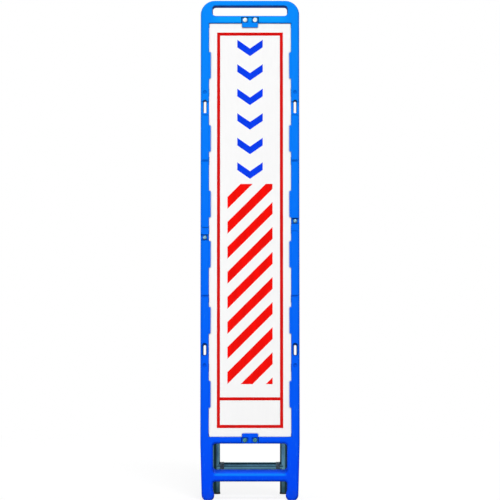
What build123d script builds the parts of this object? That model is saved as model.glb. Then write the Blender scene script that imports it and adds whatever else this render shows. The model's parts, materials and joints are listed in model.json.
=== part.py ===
from build123d import *
import os
from math import cos, radians, sin

# Standing signboard: a moulded frame with a carrying handle holds a tall sign plate and leans back
# on a folding tube stand. Millimetres, +Z up, the sign faces -Y, the origin is under the middle.
# Places on the board are (x, height up the board, distance out of its front face, so minus is in).
# Places on the stand are (x, distance behind the legs, height along the legs above the hinge axle).

# Sign plate and its printed film
PLATE_WIDTH = 275.0
PLATE_HEIGHT = 1400.0
PLATE_THICKNESS = 3.0
PLATE_CORNER = 3.0
FILM_THICKNESS = 0.4
FILM_DEPTH = 5.0
SIDE_GAP = 1.0
END_GAP = 1.0

# How it stands: the board leans back, the legs lean forward to it (degrees)
BOARD_LEAN = 6.0
LEG_LEAN = 6.5

# Moulded frame
FRAME_WIDTH = 334.0
FRAME_HEIGHT = 1690.0
FRAME_DEPTH = 40.0
BAR_ROUND = 9.0
OPENING_ROUND = 4.0
OPENING_BOTTOM = 211.0
TOP_CORNER = 48.0
HANDLE_THICKNESS = 17.8
HANDLE_SLOT_WIDTH = 255.5
HANDLE_SLOT_HEIGHT = 35.0
HANDLE_SLOT_CORNER = 12.0
HANDLE_SLOT_DRAFT = 3.5
HANDLE_SLOT_ROUND = 3.0
BOTTOM_RAIL_HEIGHT = 22.2
LOWER_BAR_FRONT_TOP = 84.0
LOWER_BAR_BACK_TOP = 110.0
LOWER_BAR_BOTTOM = 61.5
LEG_INNER = 124.5
WINDOW_CORNER = 10.0
PARTING_DEPTH = 0.8
PARTING_WIDTH = 1.4

# Feet of the frame, wider at the sole
FOOT_OUTER = 162.0
FOOT_INNER = 114.0
FOOT_RISE = 34.0
FOOT_SPARE = 4.0
FOOT_OUTER_CORNER = 21.0
FOOT_INNER_CORNER = 19.0
TAPER_BEND = 200.0
FOOT_BEND = 60.0
LEG_BAR_CORNER = 8.0

# Rungs behind the plate divide its height into equal bays
BAYS = 6
RUNG_HEIGHT = 26.0
RUNG_BACK = 34.0
RUNG_ROUND = 6.0
LEDGE_HEIGHT = 12.0

# Sink marks on the stiles' fronts, in pairs about a point just over the plate's middle
MARKS_RAISE = 2.7
GROOVE_PLACE = 229.0
GROOVE_RADIUS = 4.0
GROOVE_DEPTH = 3.0
DIMPLE_PLACE = 463.0
DIMPLE_RADIUS = 9.0
DIMPLE_DEPTH = 3.6

# Retaining tabs over the plate's long edges, in mirrored pairs about the plate's middle
TAB_PLACES = (85.0, 308.0, 557.0)
TAB_LENGTH = 92.0
TAB_END_SLOPE = 3.0
TAB_REACH = 5.5
TAB_FRONT = 1.0
TAB_THICKNESS = 3.8
TAB_ROOT = 5.0

# Tie slots through the stiles: a sunk ring round each lower one, a flat across the stile at each upper one
STILE_MIDDLE = 152.5
STILE_CUT_SPARE = 1.0
TIE_WIDTH = 8.0
TIE_CORNER = 3.5
TIE_DRAFT = 3.0
LOWER_TIE_DROP = 406.5
LOWER_TIE_HEIGHT = 33.0
TIE_RING_WIDTH = 5.5
TIE_RING_DEPTH = 5.0
UPPER_TIE_RISE = 417.0
UPPER_TIE_HEIGHT = 41.0
TIE_FLAT_BELOW_TOP = 3.5
TIE_FLAT_PAST_BOTTOM = 10.0
TIE_FLAT_DEPTH = 4.0

# Clips at the ends of the plate
NOTCH_WIDTH = 60.0
NOTCH_DEPTH = 4.9
TOP_NOTCH_HEIGHT = 21.0
CLIP_WIDTH = 54.0
TOP_CLIP_OVERLAP = 14.5
BOTTOM_CLIP_OVERLAP = 11.5
CLIP_THICKNESS = 4.4
CLIP_CORNER = 3.0
CLIP_EDGE = 1.2
CLIP_SIDE_GAP = 0.8
CLIP_SCREW_SPACING = 34.0
CLIP_SCREW_FROM_PLATE = 11.5
CLIP_POCKET_DEPTH = 2.6
CLIP_POCKET_HALF = 9.5
CLIP_POCKET_CORNER = 3.0
CLIP_RIB_WIDTH = 11.0
CLIP_SCREW_HEAD_RADIUS = 7.6
CLIP_SCREW_HEAD_HEIGHT = 3.0
CLIP_SCREW_RADIUS = 2.5
CLIP_SCREW_LENGTH = 18.0

# Hinge: dome-headed bolts on stepped seats hold a bracket and the axle behind each stile
AXLE_RADIUS = 6.0
AXLE_DEPTH = 57.0
AXLE_LENGTH = 330.0
HINGE_BOLT_DROP = 28.0
HINGE_BOLT_RADIUS = 4.0
HINGE_HEAD_RADIUS = 6.9
HINGE_HEAD_HEIGHT = 4.5
HINGE_SEAT_HALF = 10.5
HINGE_SEAT_DEPTH = 7.0
HINGE_STEP_DEPTH = 2.5
HINGE_STEP_PAST_MIDDLE = 7.0
BRACKET_WIDTH = 16.0
BRACKET_PLATE = 3.0
BRACKET_EYE_RADIUS = 9.5
BRACKET_TAIL = 42.0
WASHER_RADIUS = 8.0
WASHER_THICKNESS = 1.6
NUT_FLATS = 13.0
NUT_HEIGHT = 6.5
AXLE_SPACER_RADIUS = 9.0
AXLE_CAP_RADIUS = 9.5
AXLE_CAP_LENGTH = 5.5
AXLE_CAP_ROUND = 3.8

# Stand
LEG_SPREAD = 115.0
TUBE_RADIUS = 12.7
TUBE_WALL = 1.6
LEG_ABOVE_AXLE = 32.0
CROSS_TUBE_DROP = 810.5
COLLAR_RADIUS = 14.2
COLLAR_LENGTH = 14.0
COLLAR_ROUND = 1.2
PLUG_HEAD = 3.0
PLUG_DEPTH = 12.0
PLUG_EDGE = 1.0
LEG_FOOT_RIM = 0.8
LEG_FOOT_HEAD = 7.0
LEG_FOOT_STEM = 18.0
LEG_FOOT_SPARE = 3.0
LEG_FOOT_EDGE = 0.6

# Stays: slotted arms between the legs and studs on the stiles' backs
STAY_PIVOT_DROP = 540.0
STAY_INNER = 135.0
STAY_THICKNESS = 3.0
STAY_WIDTH = 18.0
STAY_END = 10.0
STUD_RADIUS = 4.0
STUD_HEAD_RADIUS = 7.0
STUD_HEAD_HEIGHT = 2.8
SLOT_SIDE_GAP = 1.0
SLOT_STOP_GAP = 0.3
STAY_BRACKET_INNER = 139.0
STAY_BRACKET_WIDTH = 20.0
STAY_BRACKET_HEIGHT = 48.0
STAY_BRACKET_PLATE = 3.0
STAY_BRACKET_CORNER = 2.0
EAR_HALF_HEIGHT = 10.0
EAR_ROOT_HALF_HEIGHT = 16.0
BRACKET_SCREW_OFFSET = 17.0
BRACKET_SCREW_RADIUS = 2.1
BRACKET_SCREW_LENGTH = 18.0
BRACKET_SCREW_HEAD_RADIUS = 4.5
BRACKET_SCREW_HEAD_HEIGHT = 2.6
PIVOT_HEAD_HEIGHT = 4.0

# Dome heads and their cross recesses, as shares of the head's height or radius
HEAD_ROUND_SHARE = 0.8
CROSS_LENGTH_SHARE = 1.1
CROSS_WIDTH_SHARE = 0.26
CROSS_DEPTH_SHARE = 0.5
BOLT_PAST_NUT = 2.0

# Clearances: turning on a pin, and beside a moving face
RUNNING_GAP = 0.08
FACE_GAP = 0.3

# Derived places on the board
OPENING_HALF = PLATE_WIDTH / 2 + SIDE_GAP
OPENING_TOP = OPENING_BOTTOM + PLATE_HEIGHT + END_GAP
PLATE_MIDDLE = OPENING_BOTTOM + PLATE_HEIGHT / 2
PLATE_DEPTH = FILM_DEPTH + FILM_THICKNESS
RUNG_FRONT = PLATE_DEPTH + PLATE_THICKNESS
RUNG_PITCH = PLATE_HEIGHT / BAYS
RUNG_PLACES = [PLATE_MIDDLE + RUNG_PITCH * step for step in range(-BAYS // 2 + 1, BAYS // 2)]
BOTTOM_RAIL_BOTTOM = OPENING_BOTTOM - BOTTOM_RAIL_HEIGHT
HINGE_HEIGHT = PLATE_MIDDLE
STILE_CUT_MIDDLE = (FRAME_WIDTH / 2 + OPENING_HALF) / 2
STILE_CUT_WIDTH = FRAME_WIDTH / 2 - OPENING_HALF + STILE_CUT_SPARE * 2
STUD_HEIGHT = HINGE_HEIGHT - RUNG_PITCH
SIDES = (-1, 1)

# The board stands on soles at z = 0, and the whole depth is centred on the origin
LEAN = radians(BOARD_LEAN)
PROP = radians(LEG_LEAN)
BOARD_Z = FRAME_DEPTH / 2 * sin(LEAN)
AXLE_Z = BOARD_Z + HINGE_HEIGHT * cos(LEAN) - AXLE_DEPTH * sin(LEAN)
AXLE_BEHIND = HINGE_HEIGHT * sin(LEAN) + AXLE_DEPTH * cos(LEAN)
LEG_LENGTH = AXLE_Z / cos(PROP)
LEG_FOOT_RADIUS = TUBE_RADIUS + LEG_FOOT_RIM
TOTAL_DEPTH = AXLE_BEHIND + LEG_LENGTH * sin(PROP) + LEG_FOOT_RADIUS / cos(PROP)
BOARD_Y = -TOTAL_DEPTH / 2

BOARD = Plane((0, BOARD_Y, BOARD_Z), x_dir=(1, 0, 0), z_dir=(0, -cos(LEAN), sin(LEAN)))
BOARD_SIDE = Plane(BOARD.origin, x_dir=BOARD.y_dir, z_dir=(1, 0, 0))
AXLE_POINT = BOARD.from_local_coords((0, HINGE_HEIGHT, -AXLE_DEPTH))
STAND = Plane(AXLE_POINT, x_dir=(1, 0, 0), z_dir=(0, -sin(PROP), cos(PROP)))
STAND_SIDE = Plane(AXLE_POINT, x_dir=STAND.z_dir, z_dir=(1, 0, 0))

# Each stay runs from its pivot on a leg to its stud on the board
PIVOT_POINT = STAND.from_local_coords((0, 0, -STAY_PIVOT_DROP))
STUD_POINT = BOARD.from_local_coords((0, STUD_HEIGHT, -AXLE_DEPTH))
STAY_REACH = (STUD_POINT - PIVOT_POINT).length
STAY_FOLDED_REACH = STAY_PIVOT_DROP - RUNG_PITCH
STAY = Plane(PIVOT_POINT, x_dir=STUD_POINT - PIVOT_POINT, z_dir=(1, 0, 0))


def front_seat(x, height, out):
    """Plane on the board that looks out of its front."""
    return Plane(BOARD.from_local_coords((x, height, out)), x_dir=(1, 0, 0), z_dir=BOARD.z_dir)


def back_seat(x, height, out):
    """Plane on the board that looks out of its back."""
    return Plane(BOARD.from_local_coords((x, height, out)), x_dir=(1, 0, 0), z_dir=-BOARD.z_dir)


def cross_seat(point, x, toward):
    """Plane square to X at a point of the linkage, looking towards -X or +X."""
    return Plane(point + Vector(x, 0, 0), x_dir=BOARD.y_dir, z_dir=(toward, 0, 0))


def make_screw(seat, head_radius, head_height, radius, length, cross_recess):
    """Dome-headed screw or bolt: the head stands on the seat and the shank goes through it."""
    with BuildPart() as screw:
        with BuildSketch(seat):
            Circle(head_radius)
        extrude(amount=head_height)
        rim = screw.edges().sort_by(Axis(seat.origin, seat.z_dir))[-1]
        fillet(rim, radius=head_height * HEAD_ROUND_SHARE)
        with BuildSketch(seat):
            Circle(radius)
        extrude(amount=-length)
        if cross_recess:
            with BuildSketch(seat.offset(head_height)):
                Rectangle(head_radius * CROSS_LENGTH_SHARE, head_radius * CROSS_WIDTH_SHARE)
                Rectangle(head_radius * CROSS_WIDTH_SHARE, head_radius * CROSS_LENGTH_SHARE)
            extrude(amount=-head_height * CROSS_DEPTH_SHARE, mode=Mode.SUBTRACT)
    return screw.part


def make_nut(seat, bore_radius):
    """Hexagon nut that stands on the seat."""
    with BuildPart() as nut:
        with BuildSketch(seat):
            RegularPolygon(NUT_FLATS / 2, 6, major_radius=False)
            Circle(bore_radius + RUNNING_GAP, mode=Mode.SUBTRACT)
        extrude(amount=NUT_HEIGHT)
    return nut.part


def make_ring(seat, outer_radius, inner_radius, length):
    """Plain ring that stands on the seat: a washer, bush or spacer."""
    with BuildPart() as ring:
        with BuildSketch(seat):
            Circle(outer_radius)
            Circle(inner_radius, mode=Mode.SUBTRACT)
        extrude(amount=length)
    return ring.part


def save(piece, name):
    """Label a finished piece and write it."""
    piece.label = name
    export_step(piece, f"parts/{name}.step")


os.makedirs("parts", exist_ok=True)

# Moulded frame: outline down the right side, then up the left side
right_outline = [
    (FRAME_WIDTH / 2, FRAME_HEIGHT),
    (FRAME_WIDTH / 2, BOTTOM_RAIL_BOTTOM),
    (FOOT_OUTER, -FOOT_SPARE),
    (FOOT_INNER, -FOOT_SPARE),
    (LEG_INNER, FOOT_RISE),
    (LEG_INNER, LOWER_BAR_BOTTOM),
]
right_radii = [TOP_CORNER, TAPER_BEND, FOOT_OUTER_CORNER, FOOT_INNER_CORNER, FOOT_BEND, LEG_BAR_CORNER]
outline = right_outline + [(-x, height) for x, height in reversed(right_outline)]
outline_radii = right_radii + right_radii[::-1]
slot_middle = FRAME_HEIGHT - HANDLE_THICKNESS - HANDLE_SLOT_HEIGHT / 2
front_direction = Axis(BOARD.origin, BOARD.z_dir)

# Window between the bottom rail and the lower bar, whose top slopes up towards the back
with BuildPart() as window_space:
    with BuildSketch(BOARD_SIDE):
        Polygon(
            (LOWER_BAR_FRONT_TOP, 0),
            (BOTTOM_RAIL_BOTTOM, 0),
            (BOTTOM_RAIL_BOTTOM, -FRAME_DEPTH),
            (LOWER_BAR_BACK_TOP, -FRAME_DEPTH),
            align=None,
        )
    extrude(amount=LEG_INNER, both=True)
    side_faces = window_space.faces().sort_by(Axis.X)
    front_face = window_space.faces().sort_by(front_direction)[-1]
    back_face = window_space.faces().sort_by(front_direction)[0]
    side_edges = side_faces[0].edges() + side_faces[-1].edges()
    fillet(side_edges - front_face.edges() - back_face.edges(), radius=WINDOW_CORNER)

with BuildPart() as moulded_frame:
    with BuildSketch(BOARD):
        with BuildLine():
            FilletPolyline(*outline, radius=outline_radii, close=True)
        make_face()
        with Locations((0, (OPENING_BOTTOM + OPENING_TOP) / 2)):
            Rectangle(OPENING_HALF * 2, OPENING_TOP - OPENING_BOTTOM, mode=Mode.SUBTRACT)
    extrude(amount=-FRAME_DEPTH)
    add(window_space.part, mode=Mode.SUBTRACT)

    # Handle slot, narrower towards the back
    with BuildSketch(BOARD):
        with Locations((0, slot_middle)):
            RectangleRounded(HANDLE_SLOT_WIDTH, HANDLE_SLOT_HEIGHT, HANDLE_SLOT_CORNER)
    extrude(amount=-FRAME_DEPTH, taper=HANDLE_SLOT_DRAFT, mode=Mode.SUBTRACT)

    # Bars are well rounded, the handle slot and the plate's opening only a little
    for end in (0, -1):
        for place, radius in enumerate((HANDLE_SLOT_ROUND, BAR_ROUND, OPENING_ROUND)):
            face = moulded_frame.faces().sort_by(front_direction)[end]
            fillet(face.inner_wires().sort_by(SortBy.LENGTH)[place].edges(), radius=radius)
        face = moulded_frame.faces().sort_by(front_direction)[end]
        fillet(face.outer_wire().edges(), radius=BAR_ROUND)

    # Parting line of the mould round the outside
    with BuildSketch(BOARD.offset(-FRAME_DEPTH / 2)):
        with BuildLine():
            FilletPolyline(*outline, radius=outline_radii, close=True)
        make_face()
        offset(amount=-PARTING_DEPTH, mode=Mode.SUBTRACT)
    extrude(amount=PARTING_WIDTH / 2, both=True, mode=Mode.SUBTRACT)

    # Rungs and end ledges behind the plate
    with BuildSketch(BOARD_SIDE):
        with Locations(*[(place, -(RUNG_FRONT + RUNG_BACK) / 2) for place in RUNG_PLACES]):
            RectangleRounded(RUNG_HEIGHT, RUNG_BACK - RUNG_FRONT, RUNG_ROUND)
        with Locations(
            (OPENING_TOP, -(RUNG_FRONT + RUNG_BACK) / 2),
            (OPENING_BOTTOM, -(RUNG_FRONT + RUNG_BACK) / 2),
        ):
            Rectangle(LEDGE_HEIGHT * 2, RUNG_BACK - RUNG_FRONT)
    extrude(amount=OPENING_HALF + TAB_ROOT, both=True)

    # Retaining tabs
    with BuildSketch(BOARD.offset(-TAB_FRONT)):
        for side in SIDES:
            for place in TAB_PLACES + tuple(-place for place in TAB_PLACES):
                low = PLATE_MIDDLE + place - TAB_LENGTH / 2
                high = low + TAB_LENGTH
                Polygon(
                    (side * (OPENING_HALF + TAB_ROOT), low),
                    (side * OPENING_HALF, low),
                    (side * (OPENING_HALF - TAB_REACH), low + TAB_END_SLOPE),
                    (side * (OPENING_HALF - TAB_REACH), high - TAB_END_SLOPE),
                    (side * OPENING_HALF, high),
                    (side * (OPENING_HALF + TAB_ROOT), high),
                    align=None,
                )
    extrude(amount=-TAB_THICKNESS)

    # Tie slots with their sunk rings and flats
    lower_tie = PLATE_MIDDLE - LOWER_TIE_DROP
    upper_tie = PLATE_MIDDLE + UPPER_TIE_RISE
    flat_top = upper_tie + UPPER_TIE_HEIGHT / 2 - TIE_FLAT_BELOW_TOP
    flat_bottom = upper_tie - UPPER_TIE_HEIGHT / 2 - TIE_FLAT_PAST_BOTTOM
    with BuildSketch(BOARD):
        with Locations(*[(side * STILE_CUT_MIDDLE, (flat_top + flat_bottom) / 2) for side in SIDES]):
            Rectangle(STILE_CUT_WIDTH, flat_top - flat_bottom)
    extrude(amount=-TIE_FLAT_DEPTH, mode=Mode.SUBTRACT)
    with BuildSketch(BOARD):
        with Locations(*[(side * STILE_MIDDLE, lower_tie) for side in SIDES]):
            RectangleRounded(
                TIE_WIDTH + TIE_RING_WIDTH * 2,
                LOWER_TIE_HEIGHT + TIE_RING_WIDTH * 2,
                TIE_CORNER + TIE_RING_WIDTH,
            )
    extrude(amount=-TIE_RING_DEPTH, mode=Mode.SUBTRACT)
    with BuildSketch(BOARD.offset(-FRAME_DEPTH)):
        for place, slot_height in ((lower_tie, LOWER_TIE_HEIGHT), (upper_tie, UPPER_TIE_HEIGHT)):
            with Locations(*[(side * STILE_MIDDLE, place) for side in SIDES]):
                RectangleRounded(TIE_WIDTH, slot_height, TIE_CORNER)
    extrude(amount=FRAME_DEPTH, taper=-TIE_DRAFT, mode=Mode.SUBTRACT)

    # Sink grooves across the stiles, and dimples above and below them
    marks_middle = PLATE_MIDDLE + MARKS_RAISE
    groove_out = GROOVE_RADIUS - GROOVE_DEPTH
    with BuildSketch(BOARD_SIDE):
        with Locations(*[(marks_middle + end * GROOVE_PLACE, groove_out) for end in SIDES]):
            Circle(GROOVE_RADIUS)
    extrude(amount=FRAME_WIDTH, both=True, mode=Mode.SUBTRACT)
    for side in SIDES:
        for end in SIDES:
            height = marks_middle + end * DIMPLE_PLACE
            middle = (side * STILE_MIDDLE, height, DIMPLE_RADIUS - DIMPLE_DEPTH)
            with Locations(BOARD.from_local_coords(middle)):
                Sphere(DIMPLE_RADIUS, mode=Mode.SUBTRACT)

    # Notches for the clips and holes for their screws
    bottom_screw_height = OPENING_BOTTOM - CLIP_SCREW_FROM_PLATE
    top_screw_height = OPENING_TOP + CLIP_SCREW_FROM_PLATE
    with BuildSketch(BOARD):
        with Locations((0, OPENING_TOP + TOP_NOTCH_HEIGHT / 2)):
            Rectangle(NOTCH_WIDTH, TOP_NOTCH_HEIGHT)
        with Locations((0, OPENING_BOTTOM - BOTTOM_RAIL_HEIGHT / 2)):
            Rectangle(NOTCH_WIDTH, BOTTOM_RAIL_HEIGHT)
    extrude(amount=-NOTCH_DEPTH, mode=Mode.SUBTRACT)
    with BuildSketch(BOARD):
        for height in (bottom_screw_height, top_screw_height):
            with Locations((0, height)):
                with GridLocations(CLIP_SCREW_SPACING, 0, 2, 1):
                    Circle(CLIP_SCREW_RADIUS + RUNNING_GAP)
    extrude(amount=-(NOTCH_DEPTH + CLIP_SCREW_LENGTH), mode=Mode.SUBTRACT)

    # Hinge bolts: below the axle on the left stile, above it on the right, on a step and a seat
    bolt_places = [(side * STILE_MIDDLE, HINGE_HEIGHT + side * HINGE_BOLT_DROP) for side in SIDES]
    seat_near = HINGE_BOLT_DROP - HINGE_SEAT_HALF
    seat_far = HINGE_BOLT_DROP + HINGE_SEAT_HALF
    for near, depth in ((-HINGE_STEP_PAST_MIDDLE, HINGE_STEP_DEPTH), (seat_near, HINGE_SEAT_DEPTH)):
        with BuildSketch(BOARD):
            for side in SIDES:
                middle = HINGE_HEIGHT + side * (near + seat_far) / 2
                with Locations((side * STILE_CUT_MIDDLE, middle)):
                    Rectangle(STILE_CUT_WIDTH, seat_far - near)
        extrude(amount=-depth, mode=Mode.SUBTRACT)
    with BuildSketch(BOARD):
        with Locations(*bolt_places):
            Circle(HINGE_BOLT_RADIUS + RUNNING_GAP)
    extrude(amount=-FRAME_DEPTH, mode=Mode.SUBTRACT)

    # Holes in the back for the stay brackets' screws
    bracket_screw_places = [
        (side * STILE_MIDDLE, STUD_HEIGHT + end * BRACKET_SCREW_OFFSET)
        for side in SIDES
        for end in SIDES
    ]
    with BuildSketch(BOARD.offset(-FRAME_DEPTH)):
        with Locations(*bracket_screw_places):
            Circle(BRACKET_SCREW_RADIUS + RUNNING_GAP)
    extrude(amount=BRACKET_SCREW_LENGTH, mode=Mode.SUBTRACT)

    # Soles lie flat on the ground when the stand is open
    split(bisect_by=Plane.XY, keep=Keep.TOP)
save(moulded_frame.part, "moulded_frame")

# Sign plate with its printed film
with BuildPart() as sign_plate:
    with BuildSketch(BOARD.offset(-PLATE_DEPTH)):
        with Locations((0, PLATE_MIDDLE)):
            RectangleRounded(PLATE_WIDTH, PLATE_HEIGHT, PLATE_CORNER)
    extrude(amount=-PLATE_THICKNESS)
save(sign_plate.part, "sign_plate")

with BuildPart() as sign_film:
    with BuildSketch(BOARD.offset(-PLATE_DEPTH)):
        with Locations((0, PLATE_MIDDLE)):
            RectangleRounded(PLATE_WIDTH, PLATE_HEIGHT, PLATE_CORNER)
    extrude(amount=FILM_THICKNESS)
save(sign_film.part, "sign_film")


def make_clip(low, high, screw_height, outward):
    """Flat clip in a notch of the frame, with a rib between the open pockets for its two screws."""
    pocket_width = CLIP_WIDTH - CLIP_RIB_WIDTH
    pocket_height = CLIP_POCKET_HALF * 4
    pocket_place = screw_height + outward * (pocket_height / 2 - CLIP_POCKET_HALF)
    with BuildPart() as clip:
        with BuildSketch(BOARD.offset(-NOTCH_DEPTH)):
            with Locations((0, (low + high) / 2)):
                RectangleRounded(CLIP_WIDTH, high - low, CLIP_CORNER)
        extrude(amount=CLIP_THICKNESS)
        chamfer(clip.faces().sort_by(front_direction)[-1].edges(), length=CLIP_EDGE)
        with BuildSketch(BOARD.offset(CLIP_THICKNESS - NOTCH_DEPTH)):
            with Locations((0, pocket_place)):
                with GridLocations(CLIP_WIDTH, 0, 2, 1):
                    RectangleRounded(pocket_width, pocket_height, CLIP_POCKET_CORNER)
        extrude(amount=-CLIP_POCKET_DEPTH, mode=Mode.SUBTRACT)
        with BuildSketch(BOARD.offset(-NOTCH_DEPTH)):
            with Locations((0, screw_height)):
                with GridLocations(CLIP_SCREW_SPACING, 0, 2, 1):
                    Circle(CLIP_SCREW_RADIUS + RUNNING_GAP)
        extrude(amount=CLIP_THICKNESS, mode=Mode.SUBTRACT)
    return clip.part


def make_clip_screws(screw_height):
    """The two pan-head screws of a clip."""
    seat_depth = NOTCH_DEPTH - CLIP_THICKNESS + CLIP_POCKET_DEPTH
    with BuildPart() as screws:
        for side in SIDES:
            seat = front_seat(side * CLIP_SCREW_SPACING / 2, screw_height, -seat_depth)
            add(
                make_screw(
                    seat,
                    CLIP_SCREW_HEAD_RADIUS,
                    CLIP_SCREW_HEAD_HEIGHT,
                    CLIP_SCREW_RADIUS,
                    CLIP_SCREW_LENGTH,
                    cross_recess=True,
                )
            )
    return screws.part


top_clip = make_clip(
    OPENING_TOP - TOP_CLIP_OVERLAP, OPENING_TOP + TOP_NOTCH_HEIGHT - CLIP_SIDE_GAP, top_screw_height, 1
)
bottom_clip = make_clip(
    BOTTOM_RAIL_BOTTOM + CLIP_SIDE_GAP, OPENING_BOTTOM + BOTTOM_CLIP_OVERLAP, bottom_screw_height, -1
)
save(top_clip, "top_clip")
save(bottom_clip, "bottom_clip")
save(make_clip_screws(top_screw_height), "top_clip_screws")
save(make_clip_screws(bottom_screw_height), "bottom_clip_screws")


def make_hinge_bracket(side):
    """Foot plate on the stile's back, with an eye for the axle standing behind it."""
    tail = side * BRACKET_TAIL
    foot_back = -FRAME_DEPTH - BRACKET_PLATE
    with BuildPart() as bracket:
        with BuildSketch(BOARD_SIDE.offset(side * STILE_MIDDLE)):
            with Locations((HINGE_HEIGHT, -AXLE_DEPTH)):
                Circle(BRACKET_EYE_RADIUS)
            Polygon(
                (HINGE_HEIGHT - side * BRACKET_EYE_RADIUS, -FRAME_DEPTH),
                (HINGE_HEIGHT + tail, -FRAME_DEPTH),
                (HINGE_HEIGHT + tail, foot_back),
                (HINGE_HEIGHT + side * BRACKET_EYE_RADIUS, foot_back),
                (HINGE_HEIGHT + side * BRACKET_EYE_RADIUS, -AXLE_DEPTH),
                (HINGE_HEIGHT - side * BRACKET_EYE_RADIUS, -AXLE_DEPTH),
                align=None,
            )
            with Locations((HINGE_HEIGHT, -AXLE_DEPTH)):
                Circle(AXLE_RADIUS + RUNNING_GAP, mode=Mode.SUBTRACT)
        extrude(amount=BRACKET_WIDTH / 2, both=True)
        with BuildSketch(BOARD.offset(-FRAME_DEPTH)):
            with Locations((side * STILE_MIDDLE, HINGE_HEIGHT + side * HINGE_BOLT_DROP)):
                Circle(HINGE_BOLT_RADIUS + RUNNING_GAP)
        extrude(amount=-BRACKET_PLATE, mode=Mode.SUBTRACT)
    return bracket.part


save(make_hinge_bracket(-1), "left_hinge_bracket")
save(make_hinge_bracket(1), "right_hinge_bracket")

# Hinge bolts from the front, with washers and nuts behind the brackets
washer_seat = -FRAME_DEPTH - BRACKET_PLATE
hinge_grip = FRAME_DEPTH - HINGE_SEAT_DEPTH + BRACKET_PLATE + WASHER_THICKNESS
hinge_bolt_length = hinge_grip + NUT_HEIGHT + BOLT_PAST_NUT

with BuildPart() as hinge_bolts:
    for x, height in bolt_places:
        add(
            make_screw(
                front_seat(x, height, -HINGE_SEAT_DEPTH),
                HINGE_HEAD_RADIUS,
                HINGE_HEAD_HEIGHT,
                HINGE_BOLT_RADIUS,
                hinge_bolt_length,
                cross_recess=False,
            )
        )
save(hinge_bolts.part, "hinge_bolts")

with BuildPart() as hinge_washers:
    for x, height in bolt_places:
        seat = back_seat(x, height, washer_seat)
        add(make_ring(seat, WASHER_RADIUS, HINGE_BOLT_RADIUS + RUNNING_GAP, WASHER_THICKNESS))
save(hinge_washers.part, "hinge_washers")

with BuildPart() as hinge_nuts:
    for x, height in bolt_places:
        add(make_nut(back_seat(x, height, washer_seat - WASHER_THICKNESS), HINGE_BOLT_RADIUS))
save(hinge_nuts.part, "hinge_nuts")

# Axle across the back of the board, with spacers either side of the legs and end caps
leg_inner_face = LEG_SPREAD - TUBE_RADIUS
leg_outer_face = LEG_SPREAD + TUBE_RADIUS
bracket_inner_face = STILE_MIDDLE - BRACKET_WIDTH / 2
bracket_outer_face = STILE_MIDDLE + BRACKET_WIDTH / 2

with BuildPart() as hinge_axle:
    with BuildSketch(cross_seat(AXLE_POINT, -AXLE_LENGTH / 2, 1)):
        Circle(AXLE_RADIUS)
    extrude(amount=AXLE_LENGTH)
save(hinge_axle.part, "hinge_axle")

axle_centre_spacer = make_ring(
    cross_seat(AXLE_POINT, -leg_inner_face + FACE_GAP, 1),
    AXLE_SPACER_RADIUS,
    AXLE_RADIUS + RUNNING_GAP,
    (leg_inner_face - FACE_GAP) * 2,
)
save(axle_centre_spacer, "axle_centre_spacer")

with BuildPart() as axle_side_spacers:
    for side in SIDES:
        add(
            make_ring(
                cross_seat(AXLE_POINT, side * (leg_outer_face + FACE_GAP), side),
                AXLE_SPACER_RADIUS,
                AXLE_RADIUS + RUNNING_GAP,
                bracket_inner_face - leg_outer_face - FACE_GAP,
            )
        )
save(axle_side_spacers.part, "axle_side_spacers")

with BuildPart() as axle_end_caps:
    for side in SIDES:
        with BuildSketch(cross_seat(AXLE_POINT, side * bracket_outer_face, side)):
            Circle(AXLE_CAP_RADIUS)
        extrude(amount=AXLE_CAP_LENGTH)
    fillet(axle_end_caps.edges().sort_by(Axis.X)[0], radius=AXLE_CAP_ROUND)
    fillet(axle_end_caps.edges().sort_by(Axis.X)[-1], radius=AXLE_CAP_ROUND)
    with BuildSketch(cross_seat(AXLE_POINT, -AXLE_LENGTH / 2, 1)):
        Circle(AXLE_RADIUS + RUNNING_GAP)
    extrude(amount=AXLE_LENGTH, mode=Mode.SUBTRACT)
save(axle_end_caps.part, "axle_end_caps")


def make_leg_tube(side):
    """Leg tube with cross holes for the axle and the stay's pivot bolt."""
    with BuildPart() as tube:
        with BuildSketch(STAND.offset(LEG_FOOT_HEAD - LEG_LENGTH)):
            with Locations((side * LEG_SPREAD, 0)):
                Circle(TUBE_RADIUS)
                Circle(TUBE_RADIUS - TUBE_WALL, mode=Mode.SUBTRACT)
        extrude(amount=LEG_LENGTH - LEG_FOOT_HEAD + LEG_ABOVE_AXLE)
        with BuildSketch(STAND_SIDE):
            Circle(AXLE_RADIUS + RUNNING_GAP)
            with Locations((-STAY_PIVOT_DROP, 0)):
                Circle(STUD_RADIUS + RUNNING_GAP)
        extrude(amount=FRAME_WIDTH / 2, both=True, mode=Mode.SUBTRACT)
    return tube.part


def make_leg_foot(side):
    """Plug in the lower tube end, with a sole that lies flat on the ground."""
    with BuildPart() as foot:
        with BuildSketch(STAND.offset(-LEG_LENGTH - LEG_FOOT_SPARE)):
            with Locations((side * LEG_SPREAD, 0)):
                Circle(LEG_FOOT_RADIUS)
        extrude(amount=LEG_FOOT_HEAD + LEG_FOOT_SPARE)
        chamfer(foot.edges().sort_by(Axis(STAND.origin, STAND.z_dir))[-1], length=LEG_FOOT_EDGE)
        with BuildSketch(STAND.offset(LEG_FOOT_HEAD - LEG_LENGTH)):
            with Locations((side * LEG_SPREAD, 0)):
                Circle(TUBE_RADIUS - TUBE_WALL - RUNNING_GAP)
        extrude(amount=LEG_FOOT_STEM)
        split(bisect_by=Plane.XY, keep=Keep.TOP)
    return foot.part


for side, name in zip(SIDES, ("left", "right")):
    save(make_leg_tube(side), f"{name}_leg_tube")
    save(make_leg_foot(side), f"{name}_leg_foot")

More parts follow.
